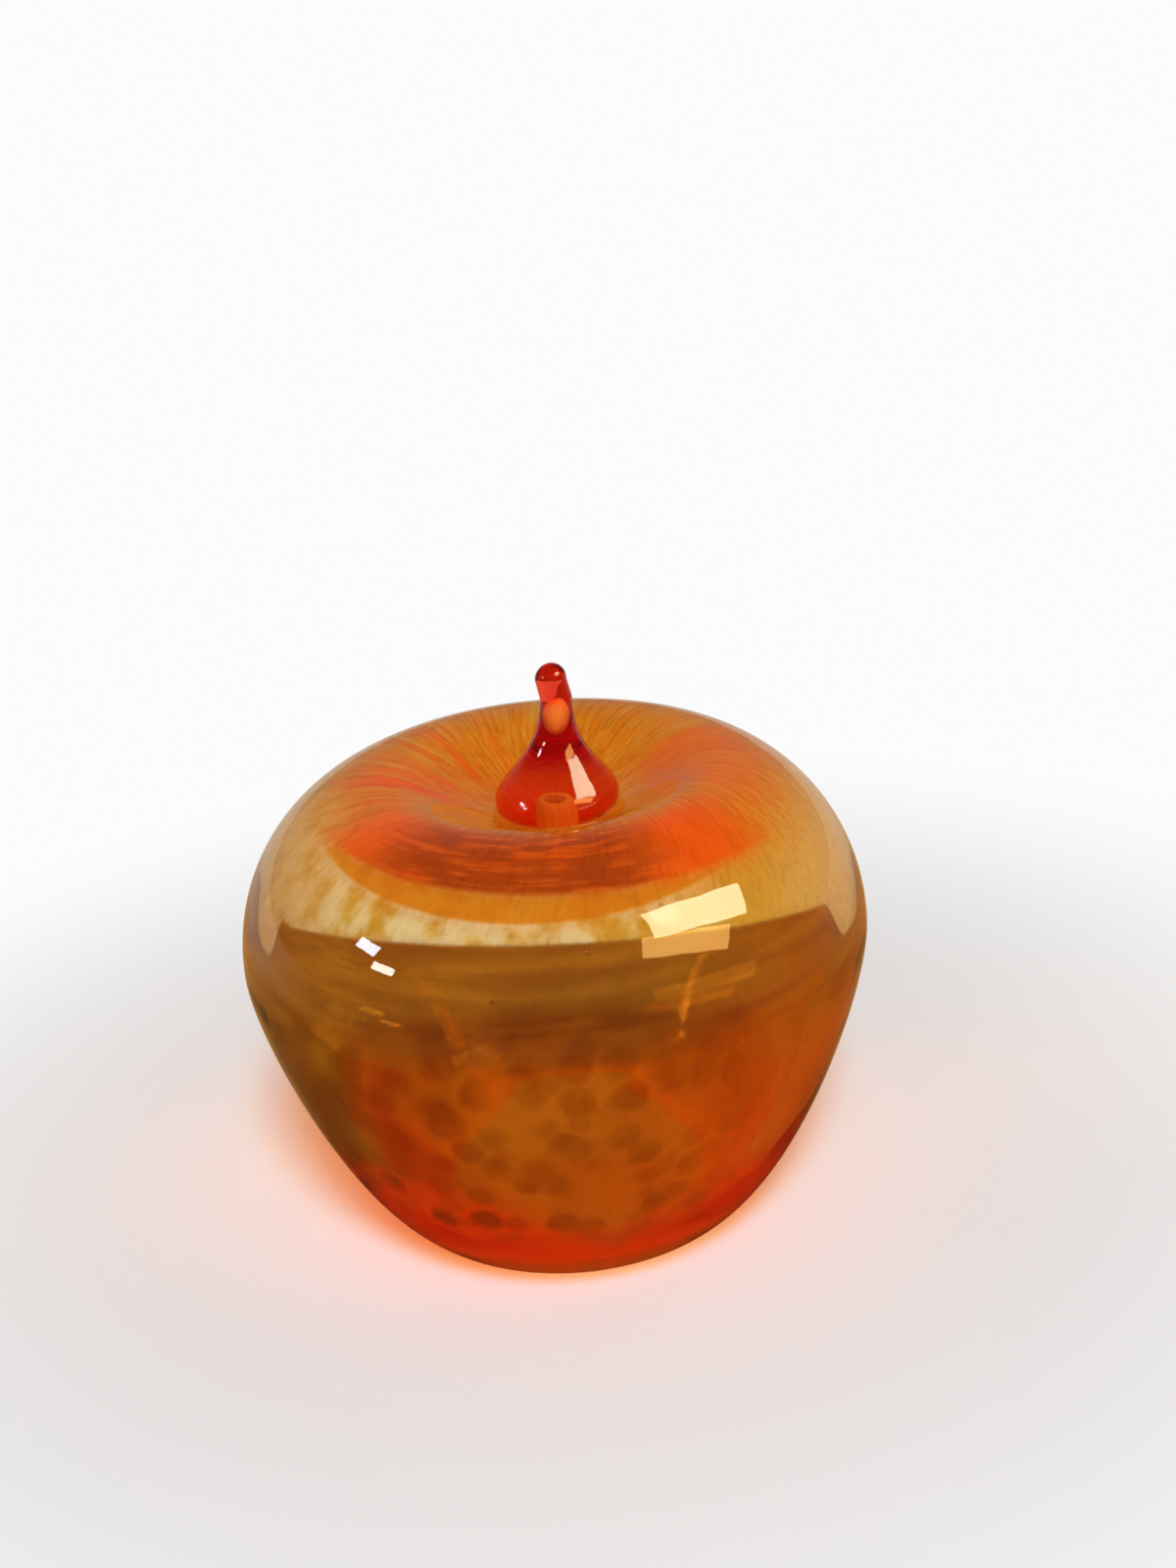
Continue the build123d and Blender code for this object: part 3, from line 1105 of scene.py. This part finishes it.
def add_lamp(scene, name, azimuth, elevation, size, glow, tint, roll, distance=1.0):
    """Flat lamp that faces the apple; glow is how bright its face looks, and roll turns it."""
    data = bpy.data.lights.new(name, "AREA")
    data.shape = "RECTANGLE"
    data.size, data.size_y = size
    data.energy = glow * math.pi * data.size * data.size_y
    data.color = tint
    lamp = bpy.data.objects.new(name, data)
    place = sky_place(azimuth, elevation, distance)
    turn = (APPLE_MIDDLE - place).to_track_quat("-Z", "Y").to_matrix().to_4x4()
    lamp.matrix_world = Matrix.Translation(place) @ turn @ Matrix.Rotation(math.radians(roll), 4, "Z")
    lamp.visible_camera = False
    scene.collection.objects.link(lamp)
    return lamp


def set_lamps(scene):
    """A soft lamp for the apple's colours, and cards that only the gloss mirrors."""
    place = {"azimuth": 5, "elevation": 50, "distance": 1.5}
    key = add_lamp(scene, "front_key", size=(0.3, 0.3), glow=62.0, tint=WHITE, roll=0, **place)
    key.visible_glossy = False
    key.visible_transmission = False

    # Name, azimuth, elevation, width and height, glow, tint and roll
    cards = (
        ("window", 66, 41, (0.6, 0.27), 12.0, (0.97, 1.0, 0.66), -28),
        ("window_sill", 52, 31, (0.56, 0.2), 10.0, (1.0, 0.6, 0.16), -28),
        ("left_cool", -78, 28, (0.16, 0.09), 22.0, (0.72, 0.88, 1.0), 0),
        ("left_warm", -67, 22, (0.15, 0.07), 20.0, (1.0, 0.97, 0.85), 0),
    )
    for card in cards:
        add_lamp(scene, *card).visible_diffuse = False


def stage_piece(name, shape, material):
    """Stage object from a bmesh."""
    piece = linked_object(name, shape, material)
    return piece


def seen_background(nodes):
    """1 for the rays that show a background: those of the camera, of gloss and of clear glass."""
    path = nodes.add("ShaderNodeLightPath").outputs
    return nodes.largest(path["Is Camera Ray"], path["Is Transmission Ray"], path["Is Glossy Ray"])


def set_floor(setup):
    """Pale floor that keeps the shadow near the apple and fades into the pale surround."""
    material, nodes = new_material("pale_floor")
    inputs = {"Base Color": rgba(setup.floor_colour), "Roughness": 0.9, "Specular IOR Level": 0.1}
    paper = nodes.add("ShaderNodeBsdfPrincipled", inputs).outputs[0]
    haze = nodes.add("ShaderNodeEmission", {"Color": rgba(setup.haze_colour), "Strength": 1.0}).outputs[0]
    far = nodes.fade(nodes.measure("LENGTH", object_place(nodes)), FLOOR_FADE)
    through = nodes.add("ShaderNodeLightPath").outputs["Is Transmission Ray"]
    near = nodes.product(through, setup.floor_haze)
    hazy = nodes.largest(nodes.product(far, seen_background(nodes)), near)
    nodes.add("ShaderNodeOutputMaterial", {"Surface": nodes.mix_shaders(hazy, paper, haze)})
    shape = bmesh.new()
    bmesh.ops.create_circle(shape, cap_ends=True, segments=RING_SIDES, radius=setup.floor_radius)
    stage_piece("floor", shape, material)


def set_surround(scene, setup):
    """Pale world behind the apple that lights it softly."""
    world = bpy.data.worlds.new("pale_surround")
    world.use_nodes = True
    nodes = NodeWiring(world.node_tree)
    inputs = {0: seen_background(nodes), 2: setup.surround, 3: 1.0}
    strength = nodes.add("ShaderNodeMix", inputs, data_type="FLOAT").outputs[0]
    background = world.node_tree.nodes["Background"].inputs
    nodes.wire(background["Color"], rgba(setup.haze_colour))
    nodes.wire(background["Strength"], strength)
    scene.world = world


def tent_cloth(name, setup, strength, glow_span):
    """Dark cloth with a soft glow behind the apple, amber next to it."""
    material, nodes = new_material(name)
    place = object_place(nodes)
    behind = (0.0, math.cos(setup.glow_height), math.sin(setup.glow_height))
    share = nodes.measure("DOT_PRODUCT", nodes.vector("NORMALIZE", place), behind)
    glow = nodes.scaled(nodes.fade(share, glow_span), strength, setup.room_strength)
    far = nodes.fade(nodes.measure("LENGTH", place), AMBER_MAT)
    tint = nodes.mix(far, setup.mat_colour, setup.glow_colour)
    cloth = nodes.add("ShaderNodeEmission", {"Color": tint, "Strength": glow}).outputs[0]
    nodes.add("ShaderNodeOutputMaterial", {"Surface": cloth})
    return material


def set_tent(setup):
    """Dark tent that only reflections see: the glass mirrors the lamps and a soft glow behind the apple."""
    dome = bmesh.new()
    bmesh.ops.create_uvsphere(dome, u_segments=48, v_segments=24, radius=setup.tent_radius)
    tent = stage_piece("tent", dome, tent_cloth("dark_tent", setup, setup.glow_strength, TENT_GLOW))
    disc = bmesh.new()
    rims = []
    for radius in (setup.tent_opening, setup.tent_radius):
        rim = bmesh.ops.create_circle(disc, segments=RING_SIDES, radius=radius)["verts"]
        for vertex in rim:
            vertex.co.z = setup.tent_lift
        rims.append(rim)
    inner, outer = rims
    for step in range(RING_SIDES):
        after = (step + 1) % RING_SIDES
        disc.faces.new((inner[step], inner[after], outer[after], outer[step]))
    mat = stage_piece("tent_mat", disc, tent_cloth("dark_mat", setup, setup.mat_strength, MAT_GLOW))
    for cover in (tent, mat):
        cover.visible_camera = False
        cover.visible_diffuse = False
        cover.visible_transmission = False
        cover.visible_shadow = False


class APPLE_OT_set_stage(bpy.types.Operator):
    """Set the floor, the lamps, the surround and the camera"""

    bl_idname = "apple.set_stage"
    bl_label = "Set Stage"

    def execute(self, context):
        scene = context.scene
        setup = scene.apple_stage
        scene.view_settings.view_transform = "Standard"
        scene.cycles.max_bounces = 20
        scene.cycles.transmission_bounces = 20
        scene.cycles.transparent_max_bounces = 32
        set_floor(setup)
        set_surround(scene, setup)
        set_tent(setup)
        set_lamps(scene)
        set_camera(scene, setup)
        return {"FINISHED"}


OPERATORS = (APPLE_OT_blow_wall, APPLE_OT_lay_colour, APPLE_OT_pull_stem, APPLE_OT_set_stage)


class APPLE_PT_sidebar(bpy.types.Panel):
    """Lists the apple's pieces and its stage"""

    bl_idname = "APPLE_PT_sidebar"
    bl_label = "Glass Apple"
    bl_space_type = "VIEW_3D"
    bl_region_type = "UI"
    bl_category = "Glass Apple"

    def draw(self, context):
        for operator in OPERATORS:
            self.layout.operator(operator.bl_idname)
        for name in SETTINGS:
            group = getattr(context.scene, name)
            box = self.layout.box()
            for key in group.__annotations__:
                box.prop(group, key)


SETTINGS = {
    "apple_shape": AppleShape,
    "apple_stem": StemShape,
    "apple_colours": GlassColours,
    "apple_stage": StageSetup,
}
CLASSES = (*SETTINGS.values(), *OPERATORS, APPLE_PT_sidebar)


def register():
    for cls in CLASSES:
        bpy.utils.register_class(cls)
    for name, group in SETTINGS.items():
        setattr(bpy.types.Scene, name, PointerProperty(type=group))


def unregister():
    for name in SETTINGS:
        delattr(bpy.types.Scene, name)
    for cls in reversed(CLASSES):
        bpy.utils.unregister_class(cls)


def main():
    register()
    bpy.ops.apple.blow_wall()
    bpy.ops.apple.lay_colour()
    bpy.ops.apple.pull_stem()
    bpy.ops.apple.set_stage()


if __name__ == "__main__":
    main()
